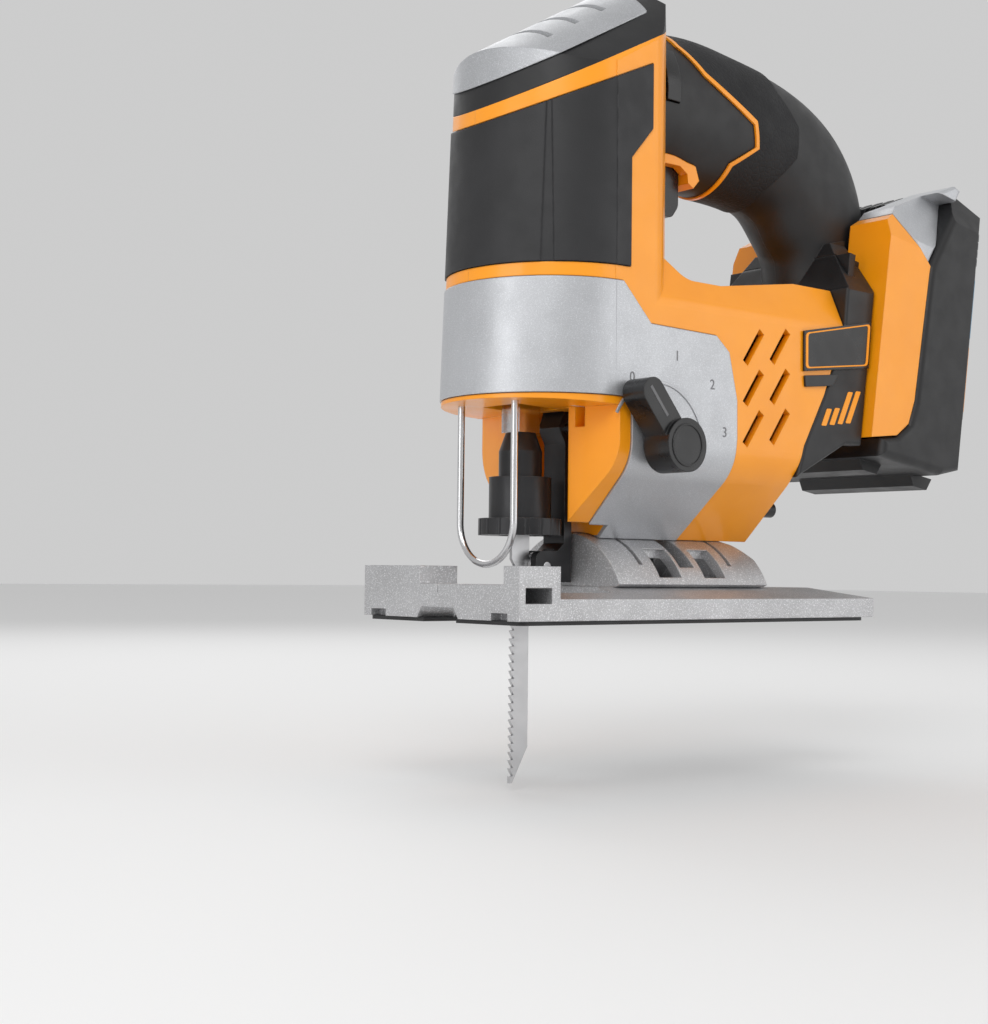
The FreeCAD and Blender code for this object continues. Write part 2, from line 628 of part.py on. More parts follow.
BEZEL = [
    (42.4, 154.6), (58.0, 154.9), (65.5, 151.7), (67.2, 147.2), (64.5, 144.2), (62.0, 145.5),
    (61.5, 148.6), (58.0, 150.7), (42.4, 150.4),
]
GRIP = [
    (63.8, 181.9), (87.8, 169.8), (90.3, 160.8), (80.5, 153.8), (77.5, 138.0), (98.0, 138.0),
    (99.6, 149.0), (109.6, 161.0), (110.2, 172.0), (102.0, 183.0), (97.0, 215.0), (52.0, 215.0),
    (55.4, 190.2),
]
PIPING = [
    (50.0, 215.0), (53.6, 189.4), (62.8, 180.4), (86.6, 168.3), (88.7, 161.2), (79.0, 154.6),
    (75.9, 138.0), (77.5, 138.0), (80.5, 153.8), (90.3, 160.8), (87.8, 169.8), (63.8, 181.9),
    (55.4, 190.2), (52.0, 215.0),
]


# ---------------------------------------------------------------- drive

def gear_outline(teeth, module, phase, backlash):
    """Corner points of a spur gear with short straight-flanked teeth."""
    pitch = teeth * module / 2
    outer = pitch + 0.8 * module
    root = pitch - 1.0 * module
    points = []
    for tooth in range(int(teeth)):
        middle = phase + 2 * math.pi * tooth / teeth
        half = math.pi / (2 * teeth) - backlash / (2 * pitch)
        for radius, spread in ((root, 1.55), (pitch, 1.0), (outer, 0.45)):
            points.append((radius, middle - half * spread))
        for radius, spread in ((outer, 0.45), (pitch, 1.0), (root, 1.55)):
            points.append((radius, middle + half * spread))
    return [(radius * math.cos(angle), radius * math.sin(angle)) for radius, angle in points]


def gear_solid(teeth, module, phase, backlash, bore, start, length, height):
    corners = [Vector(start, y, z + height)
               for y, z in gear_outline(teeth, module, phase, backlash)]
    blank = Part.Face(Part.makePolygon(corners + corners[:1])).extrude(Vector(length, 0, 0))
    hole = Part.makeCylinder(bore, length + 2, Vector(start - 1, 0, height), Vector(1, 0, 0))
    return blank.cut(hole)


def make_motor():
    can = rod("can_outer", "motor_radius", 54.0, 38.0, 0.0, "motor_height", "X")
    can_room = rod("can_inner", "motor_radius - 1.5", 51.0, 39.5, 0.0, "motor_height", "X")
    boss = rod("can_boss", 8.5, 4.0, 91.0, 0.0, "motor_height", "X")
    rear_hole = rod("can_rear_hole", 6.5, 8.0, 90.0, 0.0, "motor_height", "X")
    front_hole = rod("can_front_hole", 5.0, 4.0, 37.0, 0.0, "motor_height", "X")
    air = [box(f"can_air{side}", 50.0, side * 20.0 - 4.0, "motor_height - 9", 12.0, 8.0, 18.0)
           for side in (-1, 1)]
    node(cut("can_cut", fuse("can_body", can, boss), can_room, rear_hole, front_hole, *air),
         "motor_can")
    ring = cut("magnet_ring", rod("magnet_outer", 19.4, 36.0, 45.0, 0.0, "motor_height", "X"),
               rod("magnet_inner", 16.6, 38.0, 44.0, 0.0, "motor_height", "X"))
    gaps = box("magnet_gap", 40.0, -30.0, "motor_height - 6", 50.0, 60.0, 12.0)
    node(cut("magnet_cut", ring, gaps), "motor_magnets")
    core = rod("core_round", 15.8, 30.0, 48.0, 0.0, "motor_height", "X")
    slots = []
    for index in range(8):
        angle = math.radians(45.0 * index)
        y = 14.6 * math.cos(angle)
        z = 14.6 * math.sin(angle)
        slots.append(rod(f"core_slot{index}", 2.2, 32.0, 47.0, y, f"motor_height + {z}", "X"))
    core_bore = rod("core_bore", "shaft_radius", 34.0, 46.0, 0.0, "motor_height", "X")
    node(cut("armature_cut", core, *slots, core_bore), "armature")
    copper = []
    for index, (x, radius, long) in enumerate(((44.5, 12.0, 3.3), (78.2, 12.0, 3.3),
                                               (82.5, 6.0, 7.0))):
        coil = rod(f"copper{index}", radius, long, x, 0.0, "motor_height", "X")
        copper.append(cut(f"copper_cut{index}", coil,
                          rod(f"copper_bore{index}", "shaft_radius", 10.0, x - 1, 0.0,
                              "motor_height", "X")))
    node(fuse("copper_group", *copper), "windings_and_commutator")
    node(rod("shaft_round", "shaft_radius", 86.0, 14.5, 0.0, "motor_height", "X"), "motor_shaft")
    brushes = [box(f"brush{side}", 83.5, side * 9.6 - 3.5, "motor_height - 2", 5.0, 7.0, 4.0)
               for side in (-1, 1)]
    node(fuse("brushes_group", *brushes), "brushes")
    bearings = []
    for label, x, seat in (("front_bearing", 25.2, 3.3), ("rear_bearing", 91.0, 4.0)):
        outer_ring = rod(label + "_outer", 6.5, seat, x, 0.0, "motor_height", "X")
        bearings.append(cut(label + "_cut", outer_ring,
                            rod(label + "_bore", "shaft_radius + 0.03", seat + 2, x - 1, 0.0,
                                "motor_height", "X")))
    node(fuse("bearings_group", *bearings), "motor_bearings")
    hub = rod("fan_hub", 5.0, 7.0, 29.6, 0.0, "motor_height", "X")
    disc = rod("fan_disc", 18.5, 1.2, 35.4, 0.0, "motor_height", "X")
    blades = []
    for index in range(9):
        turn = Rotation(Vector(1, 0, 0), 40.0 * index)
        offset = turn.multVec(Vector(0, 4.0, -0.6))
        blades.append(box(f"fan_blade{index}", 30.0, offset.y,
                          f"motor_height + {offset.z}", 5.6, 14.0, 1.2, turn=turn))
    fan_bore = rod("fan_bore", "shaft_radius", 9.0, 28.6, 0.0, "motor_height", "X")
    node(cut("fan_cut", fuse("fan_body", hub, disc, *blades), fan_bore), "cooling_fan")


def make_gears():
    module = SIZES["gear_module"]
    small = SIZES["pinion_teeth"]
    large = SIZES["gear_teeth"]
    motor_z = SIZES["motor_height"]
    gear_z = SIZES["gear_height"]
    solid("pinion", gear_solid(small, module, math.pi / 2, 0.12, SIZES["shaft_radius"],
                               15.5, 8.5, motor_z))
    lowest_gap = -math.pi / 2 + math.pi / large
    wheel = gear_solid(large, module, lowest_gap, 0.12, 3.05, 15.5, 7.0, gear_z)
    pin_z = gear_z - SIZES["crank_throw"]
    pin_hole = Part.makeCylinder(3.0, 9.0, Vector(15.0, 0, pin_z), Vector(1, 0, 0))
    solid("drive_gear", wheel.cut(pin_hole))
    node(rod("crank_round", 3.0, 12.0, 9.7, 0.0, pin_z, "X"), "crank_pin")
    weight = rod("weight_round", 20.0, 3.0, 12.3, 0.0, "gear_height", "X")
    weight_low = box("weight_low", 12.0, -25.0, 80.0, 4.0, 50.0, 28.0)
    weight_bore = rod("weight_bore", 6.5, 5.0, 11.5, 0.0, "gear_height", "X")
    node(cut("weight_cut", weight, weight_low, weight_bore), "counterweight")
    axle = rod("axle_round", 3.0, 16.0, 12.5, 0.0, "gear_height", "X")
    plate = prism("gear_plate_body", "XZ", [(25.2, 70.8), (28.5, 70.8), (28.5, 128.0),
                                            (25.2, 128.0)], -22.0, 22.0)
    bearing_seat = rod("bearing_seat", 6.5, 6.0, 24.0, 0.0, "motor_height", "X")
    node(fuse("gear_plate_body_all", cut("gear_plate_cut", plate, bearing_seat), axle),
         "gear_plate")


def make_plunger():
    bar = box("plunger_bar", "-plunger_side / 2", "-plunger_side / 2", 58.6, "plunger_side",
              "plunger_side", 81.0)
    tail = rod("plunger_tail", 4.0, 9.0, 0.0, 0.0, 50.5)
    node(fuse("plunger_body", bar, tail), "plunger")
    yoke = box("yoke_plate", "plunger_side / 2", -17.0, 89.5, 5.1, 34.0, 11.0)
    slot = prism("yoke_slot", "YZ", mirrored([(13.3, 91.8), (13.3, 98.2)]), 2.0, 12.0)
    node(cut("yoke_cut", yoke, slot), "scotch_yoke")
    bushes = []
    for label, low, tall in (("lower_bush", 79.2, 9.3), ("upper_bush", 126.0, 10.0)):
        block = box(label + "_block", -5.5, -24.0, low, 17.0, 48.0, tall)
        way = box(label + "_way", "-plunger_side / 2 - 0.05", "-plunger_side / 2 - 0.05", low - 1,
                  "plunger_side + 0.1", "plunger_side + 0.1", tall + 2)
        nose = cut(label + "_cut", block, way)
        front = box(label + "_front", -9.0, -8.0, low, 3.5, 16.0, tall)
        bushes.append(fuse(label + "_body", nose, front))
    node(fuse("bushes_group", *bushes), "plunger_bushes")
    neck = taper("clamp_neck", "sleeve_radius", 4.7, 5.8, 0.0, 0.0, 52.8)
    sleeve = rod("clamp_sleeve", "sleeve_radius", 25.9, 0.0, 0.0, 26.9)
    bore = rod("clamp_bore", 4.02, 10.0, 0.0, 0.0, 50.3)
    blade_slot = box("blade_slot", -4.7, -0.75, 20.0, 9.4, 1.5, 30.2)
    node(cut("clamp_body_cut", fuse("clamp_body_all", neck, sleeve), bore, blade_slot), "clamp_body")
    collar = rod("collar_round", "collar_radius", 13.0, 0.0, 0.0, 31.7)
    flange = rod("flange_round", "flange_radius", 5.2, 0.0, 0.0, "clamp_bottom")
    knurls = [rod(f"flange_grip{index}", 1.2, 8.0, 13.9 * math.cos(math.radians(20 * index)),
                  13.9 * math.sin(math.radians(20 * index)), 25.0) for index in range(18)]
    collar_bore = rod("collar_bore", "sleeve_radius + 0.07", 30.0, 0.0, 0.0, 20.0)
    spring_room = rod("spring_room", 8.7, 6.0, 0.0, 0.0, 36.0)
    node(cut("collar_cut", fuse("collar_body", collar, flange), collar_bore, spring_room, *knurls),
         "clamp_collar")
    coil_path = Part.makeHelix(1.6, 4.6, 7.75)
    coil_ring = Part.Wire(Part.makeCircle(0.6, Vector(7.75, 0, 0), Vector(0, 1, 0)))
    coil = Part.Wire(coil_path.Edges).makePipeShell([coil_ring], True, True)
    solid("clamp_spring", coil, 0.0, 0.0, 36.7)


def make_blade():
    body = prism("blade_body", "XZ", [
        (-3.5, 47.0), (-3.5, 43.0), (-4.4, 43.0), (-4.4, 39.5), (-3.5, 39.5),
        (-3.5, "blade_tip"), (-2.6, "blade_tip"), (3.5, "blade_tip + 11"), (3.5, 39.5),
        (4.4, 39.5), (4.4, 43.0), (3.5, 43.0), (3.5, 47.0), (1.5, 49.5), (-1.5, 49.5),
    ], "-blade_thickness / 2", "blade_thickness / 2")
    notch = body.newObject("Sketcher::SketchObject", "tooth_notch")
    origin = [item for item in body.Origin.OriginFeatures if item.Role == "XZ_Plane"][0]
    notch.AttachmentSupport = [(origin, "")]
    notch.MapMode = "FlatFace"
    low = number("blade_tip + 2")
    corners = [Vector(-4.5, low, 0), Vector(-4.5, low + 2.9, 0), Vector(-3.55, low + 2.4, 0),
               Vector(-2.2, low + 0.2, 0)]
    for index in range(4):
        notch.addGeometry(Part.LineSegment(corners[index], corners[(index + 1) % 4]), False)
    for index in range(4):
        notch.addConstraint(Sketcher.Constraint("Coincident", index, 2, (index + 1) % 4, 1))
    pocket = body.newObject("PartDesign::Pocket", "tooth_gap")
    pocket.Profile = notch
    pocket.Midplane = True
    pocket.Length = 6.0
    doc.recompute()
    row = body.newObject("PartDesign::LinearPattern", "teeth")
    row.Originals = [pocket]
    row.Direction = (notch, ["V_Axis"])
    row.Occurrences = 27
    row.setExpression("Length", formula("26 * tooth_pitch"))
    body.Tip = row
    doc.recompute()
    node(body, "blade")


def make_guard():
    half = SIZES["guard_half"]
    x = SIZES["guard_x"]
    top = Vector(x, -half, 72.5)
    low = Vector(x, -half, 30.5)
    bottom = Vector(x, 0, 30.5 - half)
    far_low = Vector(x, half, 30.5)
    far_top = Vector(x, half, 72.5)
    path = Part.Wire([Part.makeLine(top, low), Part.Arc(low, bottom, far_low).toShape(),
                      Part.makeLine(far_low, far_top)])
    ring = Part.Wire(Part.makeCircle(SIZES["guard_wire"], top, Vector(0, 0, 1)))
    solid("wire_guard", path.makePipeShell([ring], True, True))


def make_rocker():
    arm = prism("rocker_arm", "XZ", [
        (2.6, 12.2), (17.2, 12.2), (17.2, 56.0), ("rocker_x + 4.4", 61.0), (17.6, 66.0),
        (17.6, 70.8), (13.6, 70.8), (13.6, 66.0), ("rocker_x - 4.4", 61.0), (14.2, 56.0),
        (14.2, 24.5), (11.5, 22.0), (2.6, 22.0),
    ], -5.0, 5.0, [(3.0, [(2.6, 12.2), (2.6, 22.0)])])
    bore = rod("rocker_bore", 2.06, 12.0, "rocker_x", -6.0, "rocker_z", "Y")
    gap = box("roller_gap", 0.0, -2.4, 10.0, 12.2, 4.8, 13.0)
    pin_hole = rod("roller_pin_hole", 1.5, 12.0, 7.2, -6.0, 17.0, "Y")
    node(cut("rocker_cut", arm, bore, gap, pin_hole), "orbital_rocker")
    node(rod("roller_pin_round", 1.5, 10.0, 7.2, -5.0, 17.0, "Y"), "roller_pin")
    node(rod("rocker_pin_round", 2.0, 39.0, "rocker_x", -19.5, "rocker_z", "Y"), "rocker_pin")
    wheel = rod("roller_round", 4.5, 4.4, 7.2, -2.2, 17.0, "Y")
    groove = cut("roller_groove", rod("groove_round", 6.0, 1.5, 7.2, -0.75, 17.0, "Y"),
                 rod("groove_core", 3.63, 3.0, 7.2, -1.5, 17.0, "Y"))
    roller_bore = rod("roller_bore", 1.55, 6.0, 7.2, -3.0, 17.0, "Y")
    node(cut("roller_cut", wheel, groove, roller_bore), "guide_roller")


def make_selector():
    hub = rod("knob_hub", "knob_radius", 10.6, "knob_x", -46.0, "knob_z", "Y")
    angle = math.radians(130.0)
    arm_turn = Rotation(Vector(0, 1, 0), -130.0)
    side = arm_turn.multVec(Vector(0, 0, -4.3))
    arm = box("knob_arm", f"knob_x + {side.x}", -44.5, f"knob_z + {side.z}", 20.0, 9.1, 8.6,
              turn=arm_turn)
    tip = rod("knob_tip", 4.3, 9.1, f"knob_x + {20.0 * math.cos(angle)}", -44.5,
              f"knob_z + {20.0 * math.sin(angle)}", "Y")
    node(fuse("knob_body", hub, arm, tip), "selector_knob")
    stem = rod("selector_stem", 4.0, 20.4, "knob_x", -35.4, "knob_z", "Y")
    flat = box("selector_flat", "knob_x - 5", -19.9, "knob_z + 1.5", 10.0, 6.0, 6.0)
    node(cut("selector_cut", stem, flat), "selector_shaft")


def make_trigger_spring():
    radius = 3.0
    path = Part.makeHelix(1.5, 6.6, radius)
    ring = Part.Wire(Part.makeCircle(0.4, Vector(radius, 0, 0), Vector(0, 1, 0)))
    coil = Part.Wire(path.Edges).makePipeShell([ring], True, True)
    solid("trigger_spring", coil, 52.5, 0.0, 161.5)


SCREWS = [(70.0, 52.0, 31.0), (88.0, 54.0, 31.0), (76.0, 103.5, 29.0), (104.0, 104.0, 29.0),
          (96.0, 166.0, 15.5), (127.0, 150.0, 14.0), (64.0, 187.0, 11.5)]


def make_screws():
    screws = []
    for index, (x, z, seat) in enumerate(SCREWS):
        head = rod(f"screw_head{index}", 3.4, 2.0, x, seat - 2.0, z, "Y")
        shank = rod(f"screw_shank{index}", 1.4, 7.0, x, seat - 9.0, z, "Y")
        recess = rod(f"screw_recess{index}", 1.4, 2.0, x, seat - 1.2, z, "Y")
        screws.append(cut(f"screw{index}", fuse(f"screw_all{index}", head, shank), recess))
    node(fuse("screws_group", *screws), "housing_screws")


def screw_wells():
    """Counterbored holes for the screws, open towards +Y."""
    wells = []
    for index, (x, z, seat) in enumerate(SCREWS):
        wells.append(rod(f"well{index}", 3.6, 30.0, x, seat - 2.0, z, "Y"))
        wells.append(rod(f"well_shank{index}", 1.45, 12.0, x, seat - 12.0, z, "Y"))
    return wells


def make_small_parts():
    node(box("lamp_body", 4.1, -20.4, 66.3, 8.8, 3.3, 1.8), "led_lens")
    key = rod("key_shank", 2.0, 24.0, 71.0, -8.0, 38.0, "X")
    cap = rod("key_cap", 2.7, 14.0, 94.5, -8.0, 38.0, "X")
    node(fuse("key_body", key, cap), "hex_key")
    node(prism("name_plate_body", "XZ", [
        (95.5, 97.2), (95.5, 83.6), (130.0, 87.6), (131.6, 104.0),
    ], -33.9, -33.25), "name_plate")


# ---------------------------------------------------------------- battery, in its own frame

def make_battery():
    case = prism("case_body", "XZ", [
        (0.2, -7.0), (14.0, -3.5), (20.0, 2.0), (22.2, 11.0), (24.0, 58.0), (24.3, 61.2),
        (4.3, 75.2), (0.2, 72.0),
    ], -37.0, 37.0)
    case_room = prism("case_room", "XZ", [
        (2.6, -3.5), (13.0, -0.5), (17.5, 4.0), (19.6, 12.0), (21.0, 56.8), (2.6, 56.8),
    ], -34.5, 34.5)
    notch = box("case_notch", -5.0, -18.5, 59.4, 26.3, 37.0, 40.0)
    case_edges = side_wedges("case_edge", "YZ", [
        (38.5, 62.0), (28.0, 90.0), (45.0, 90.0), (45.0, 62.0)], -5.0, 60.0)
    node(lean_over(cut("case_cut", case, case_room, notch, *case_edges)), "battery_case")
    cover = prism("cover_body", "XZ", [
        (22.4, 10.0), (20.2, 1.8), (14.0, -3.8), (6.0, -6.0), (6.0, -12.5), (41.7, -12.3),
        (56.8, -7.0), (60.5, 20.0), (65.9, 76.3), (65.2, 87.3), (40.5, 95.0), (24.6, 61.6),
        (24.2, 58.0),
    ], "-battery_half", "battery_half", [(5.0, [(65.2, 87.3), (56.8, -7.0)])], rim=3.0)
    cover_room = prism("cover_room", "XZ", [
        (27.0, 2.0), (27.0, -9.5), (41.0, -9.5), (54.6, -4.5), (58.0, 20.0), (63.0, 76.0),
        (62.5, 85.0), (41.5, 91.0), (27.4, 61.0),
    ], -35.4, 35.4)
    feet = [prism(f"foot{index}", "XZ", [
        (x, -11.5), (x + 3.0, -16.0), (x + 11.0, -16.0), (x + 13.5, -11.5)], -26.0, 26.0)
        for index, x in enumerate((8.0, 38.0))]
    outer_edges = side_wedges("outer_edge", "XY", [
        (49.0, 38.69), (70.0, 24.25), (70.0, 45.0), (49.0, 45.0)], -30.0, 110.0)
    room_edges = side_wedges("room_edge", "XY", [
        (49.0, 36.3), (70.0, 21.85), (70.0, 45.0), (49.0, 45.0)], -30.0, 110.0)
    outer_top = side_wedges("outer_top", "YZ", [
        (38.5, 80.0), (28.0, 100.0), (45.0, 100.0), (45.0, 80.0)], 0.0, 80.0)
    room_top = side_wedges("room_top", "YZ", [
        (36.0, 80.0), (25.5, 100.0), (45.0, 100.0), (45.0, 80.0)], 0.0, 80.0)
    room = cut("cover_hollow", cover_room, *room_edges, *room_top)
    node(lean_over(cut("cover_cut", fuse("cover_all", cover, *feet), room, *outer_edges,
                       *outer_top)), "battery_cover")
    top = prism("top_body", "XZ", [
        (4.5, 75.5), (24.4, 61.6), (40.2, 94.8), (36.5, 95.6), (7.0, 79.0),
    ], -36.0, 36.0, rim=1.5)
    button_room = box("button_room", 21.3, -16.3, 66.0, 18.0, 32.6, 40.0)
    top_notch = box("top_notch", -5.0, -18.5, 55.0, 26.3, 37.0, 60.0)
    node(lean_over(cut("top_cut", top, button_room, top_notch, *case_edges)), "battery_top")
    button = prism("button_body", "XZ", [
        (22.0, 72.0), (32.0, 80.5), (32.0, 93.2), (22.0, 87.5),
    ], -16.0, 16.0)
    ribs = [box(f"button_rib{index}", 21.0, -14.0 + 5.0 * index, 84.5, 12.0, 2.2, 12.0)
            for index in range(6)]
    node(lean_over(cut("button_cut", button, *ribs)), "release_button")
    rail = fuse("rail_all",
                box("rail_block", -10.0, -24.0, -5.0, 10.2, 48.0, 62.6),
                box("rail_lips", -10.0, -28.0, 37.0, 3.1, 56.0, 20.6))
    grooves = [box(f"contact_groove{index}", -11.0, y - 1.5, 15.0, 9.0, 3.0, 50.0)
               for index, y in enumerate((-11.0, 0.0, 11.0))]
    node(lean_over(cut("rail_cut", rail, *grooves)), "battery_rail")
    block = box("terminal_body", -17.0, -14.0, 18.0, 6.4, 28.0, 14.0)
    tabs = [box(f"terminal_tab{index}", -10.6, y - 0.5, 20.0, 6.0, 1.0, 10.0)
            for index, y in enumerate((-11.0, 0.0, 11.0))]
    node(lean_over(fuse("terminal_group", block, *tabs)), "terminal_block")
    cells = [rod(f"cell{index}", "cell_radius", "cell_length", 44.6, "-cell_length / 2",
                 2.2 + 18.3 * index, "Y") for index in range(int(SIZES["cell_count"]))]
    node(lean_over(fuse("cells_group", *cells)), "battery_cells")
    frames = [box(f"cell_frame{side}", 37.0, side * 33.8 - 0.8, -4.0, 13.0, 1.6, 84.0)
              for side in (-1, 1)]
    node(lean_over(fuse("frames_group", *frames)), "cell_frames")
    node(lean_over(box("board_body", 28.2, -25.0, 6.0, 1.6, 50.0, 54.0)), "battery_board")


def check_and_write():
    doc.recompute()
    faults = [item.Name for item in doc.Objects if {"Invalid", "Error"} & set(item.State)]
    for piece in NODES:
        if piece.Shape.isNull() or not piece.Shape.isValid() or not piece.Shape.Solids:
            faults.append(piece.Label)
    if faults:
        raise RuntimeError("failed objects: " + ", ".join(faults))
    os.makedirs("parts", exist_ok=True)
    for piece in NODES:
        piece.Shape.exportStep(f"parts/{piece.Label}.step")
        print(piece.Label, len(piece.Shape.Solids), round(piece.Shape.Volume, 1))


make_shoe()
make_sole_cover()
make_bracket()
make_bevel_screw()
OUTER, CORE = make_housing()
make_skins(OUTER, CORE)
make_handle(OUTER)
make_motor()
make_gears()
make_plunger()
make_blade()
make_guard()
make_rocker()
make_selector()
make_trigger_spring()
make_screws()
make_small_parts()
make_battery()
check_and_write()
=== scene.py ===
import bpy
import bmesh
import math
from mathutils import Matrix, Vector


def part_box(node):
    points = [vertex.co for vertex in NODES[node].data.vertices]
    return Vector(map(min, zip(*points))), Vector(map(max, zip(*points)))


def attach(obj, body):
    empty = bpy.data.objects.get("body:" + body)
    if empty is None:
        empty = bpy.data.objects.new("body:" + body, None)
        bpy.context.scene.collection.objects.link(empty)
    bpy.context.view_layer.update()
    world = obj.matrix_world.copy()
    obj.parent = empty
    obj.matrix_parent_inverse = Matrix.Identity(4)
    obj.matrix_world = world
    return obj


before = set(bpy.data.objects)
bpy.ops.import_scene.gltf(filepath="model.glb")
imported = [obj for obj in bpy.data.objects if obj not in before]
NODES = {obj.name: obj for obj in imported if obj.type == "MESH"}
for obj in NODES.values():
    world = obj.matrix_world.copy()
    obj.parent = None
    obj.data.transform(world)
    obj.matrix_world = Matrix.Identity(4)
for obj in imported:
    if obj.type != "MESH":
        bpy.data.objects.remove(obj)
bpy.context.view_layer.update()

# Cordless jigsaw, in metres, in the CAD's frame: front -X, battery +X, knob's side -Y, up +Z.
MM = 0.001

# ---------------------------------------------------------------- camera

FOCAL_LENGTH = 55.65
AZIMUTH = math.radians(-39.3)
PITCH = math.radians(2.2)
ROLL = math.radians(0.63)
SENSOR_WIDTH = 36.0
CAMERA_PLACE = Vector((-0.319, -0.377, 0.0149))

forward = Vector((-math.sin(AZIMUTH) * math.cos(PITCH), math.cos(AZIMUTH) * math.cos(PITCH),
                  math.sin(PITCH)))
level = Vector((math.cos(AZIMUTH), math.sin(AZIMUTH), 0.0))
upward = level.cross(forward)
right = level * math.cos(ROLL) + upward * math.sin(ROLL)
up = upward * math.cos(ROLL) - level * math.sin(ROLL)

camera = bpy.data.objects.new("camera", bpy.data.cameras.new("camera"))
bpy.context.collection.objects.link(camera)
camera.data.lens = FOCAL_LENGTH
camera.data.sensor_width = SENSOR_WIDTH
camera.data.clip_start = 0.01
camera.data.clip_end = 50.0
turn = Matrix((right, up, -forward)).transposed().to_4x4()
camera.matrix_world = Matrix.Translation(CAMERA_PLACE) @ turn
bpy.context.scene.camera = camera

# ---------------------------------------------------------------- materials


class Shader:
    """A node material with a Principled shader, and short calls for the nodes it needs."""

    def __init__(self, name):
        self.material = bpy.data.materials.new(name)
        self.material.use_nodes = True
        self.tree = self.material.node_tree
        self.principled = self.tree.nodes["Principled BSDF"]
        self.place = self.add("ShaderNodeTexCoord").outputs["Object"]

    def add(self, kind, **settings):
        made = self.tree.nodes.new(kind)
        for key, value in settings.items():
            setattr(made, key, value)
        return made

    def link(self, source, target):
        self.tree.links.new(source, target)

    def noise(self, scale, detail=3.0, stretch=None):
        made = self.add("ShaderNodeTexNoise")
        made.inputs["Scale"].default_value = scale
        made.inputs["Detail"].default_value = detail
        place = self.place
        if stretch:
            mapping = self.add("ShaderNodeMapping")
            mapping.inputs["Scale"].default_value = stretch
            self.link(place, mapping.inputs["Vector"])
            place = mapping.outputs["Vector"]
        self.link(place, made.inputs["Vector"])
        return made.outputs["Fac"]

    def cells(self, scale):
        made = self.add("ShaderNodeTexVoronoi", feature="DISTANCE_TO_EDGE")
        made.inputs["Scale"].default_value = scale
        self.link(self.place, made.inputs["Vector"])
        return made.outputs["Distance"]

    def ranged(self, value, low, high, to_low, to_high):
        made = self.add("ShaderNodeMapRange")
        self.link(value, made.inputs["Value"])
        made.inputs["From Min"].default_value = low
        made.inputs["From Max"].default_value = high
        made.inputs["To Min"].default_value = to_low
        made.inputs["To Max"].default_value = to_high
        return made.outputs["Result"]

    def times(self, first, second):
        made = self.add("ShaderNodeMath", operation="MULTIPLY")
        self.link(first, made.inputs[0])
        self.link(second, made.inputs[1])
        return made.outputs["Value"]

    def mix(self, amount, first, second):
        made = self.add("ShaderNodeMix", data_type="RGBA")
        self.link(amount, made.inputs["Factor"])
        for socket, colour in ((made.inputs[6], first), (made.inputs[7], second)):
            if isinstance(colour, tuple):
                socket.default_value = (*colour, 1.0)
            else:
                self.link(colour, socket)
        return made.outputs[2]


def shade(colour, factor):
    return tuple(min(1.0, part * factor) for part in colour)


def surface(name, colour, rough, metallic=0.0, grain=2200.0, bump=0.05, patches=0.10,
            edge=0.5, wear=None, wear_amount=0.35, coat=0.0, flakes=0.0, stretch=None,
            weave=0.0, specular=0.5):
    """A material with patchy colour, grained bump, softened edges and wear along them."""
    made = Shader(name)
    principled = made.principled
    principled.inputs["Metallic"].default_value = metallic
    principled.inputs["Specular IOR Level"].default_value = specular
    principled.inputs["Coat Weight"].default_value = coat
    principled.inputs["Coat Roughness"].default_value = 0.12

    broad = made.noise(55.0)
    fine = made.noise(grain, 2.0, stretch)
    tone = made.mix(made.ranged(broad, 0.3, 0.7, 0.0, 1.0),
                    shade(colour, 1.0 - patches), shade(colour, 1.0 + patches * 0.6))
    if flakes:
        glint = made.ranged(made.noise(grain * 1.6, 1.0), 0.52, 0.72, 0.0, flakes)
        tone = made.mix(glint, tone, shade(colour, 1.7))

    soft = made.add("ShaderNodeBevel", samples=4)
    soft.inputs["Radius"].default_value = edge * MM
    if wear:
        true = made.add("ShaderNodeNewGeometry")
        facing = made.add("ShaderNodeVectorMath", operation="DOT_PRODUCT")
        made.link(soft.outputs["Normal"], facing.inputs[0])
        made.link(true.outputs["Normal"], facing.inputs[1])
        rim = made.ranged(facing.outputs["Value"], 0.80, 0.97, wear_amount, 0.0)
        rubbed = made.times(rim, made.ranged(made.noise(320.0), 0.42, 0.62, 0.0, 1.0))
        tone = made.mix(rubbed, tone, wear)
    made.link(tone, principled.inputs["Base Color"])
    made.link(made.ranged(made.noise(130.0), 0.3, 0.7, max(0.04, rough - 0.06), rough + 0.07),
              principled.inputs["Roughness"])

    relief = made.add("ShaderNodeBump")
    relief.inputs["Strength"].default_value = 1.0
    relief.inputs["Distance"].default_value = bump * MM
    made.link(fine, relief.inputs["Height"])
    made.link(soft.outputs["Normal"], relief.inputs["Normal"])
    normal = relief.outputs["Normal"]
    if weave:
        ridges = made.add("ShaderNodeBump")
        ridges.inputs["Strength"].default_value = 1.0
        ridges.inputs["Distance"].default_value = weave * MM
        made.link(made.ranged(made.cells(480.0), 0.0, 0.16, 0.0, 1.0), ridges.inputs["Height"])
        made.link(normal, ridges.inputs["Normal"])
        normal = ridges.outputs["Normal"]
    made.link(normal, principled.inputs["Normal"])
    return made.material


YELLOW = (1.0, 0.345, 0.004)
BLACK = (0.009, 0.009, 0.010)
SILVER = (0.50, 0.51, 0.53)

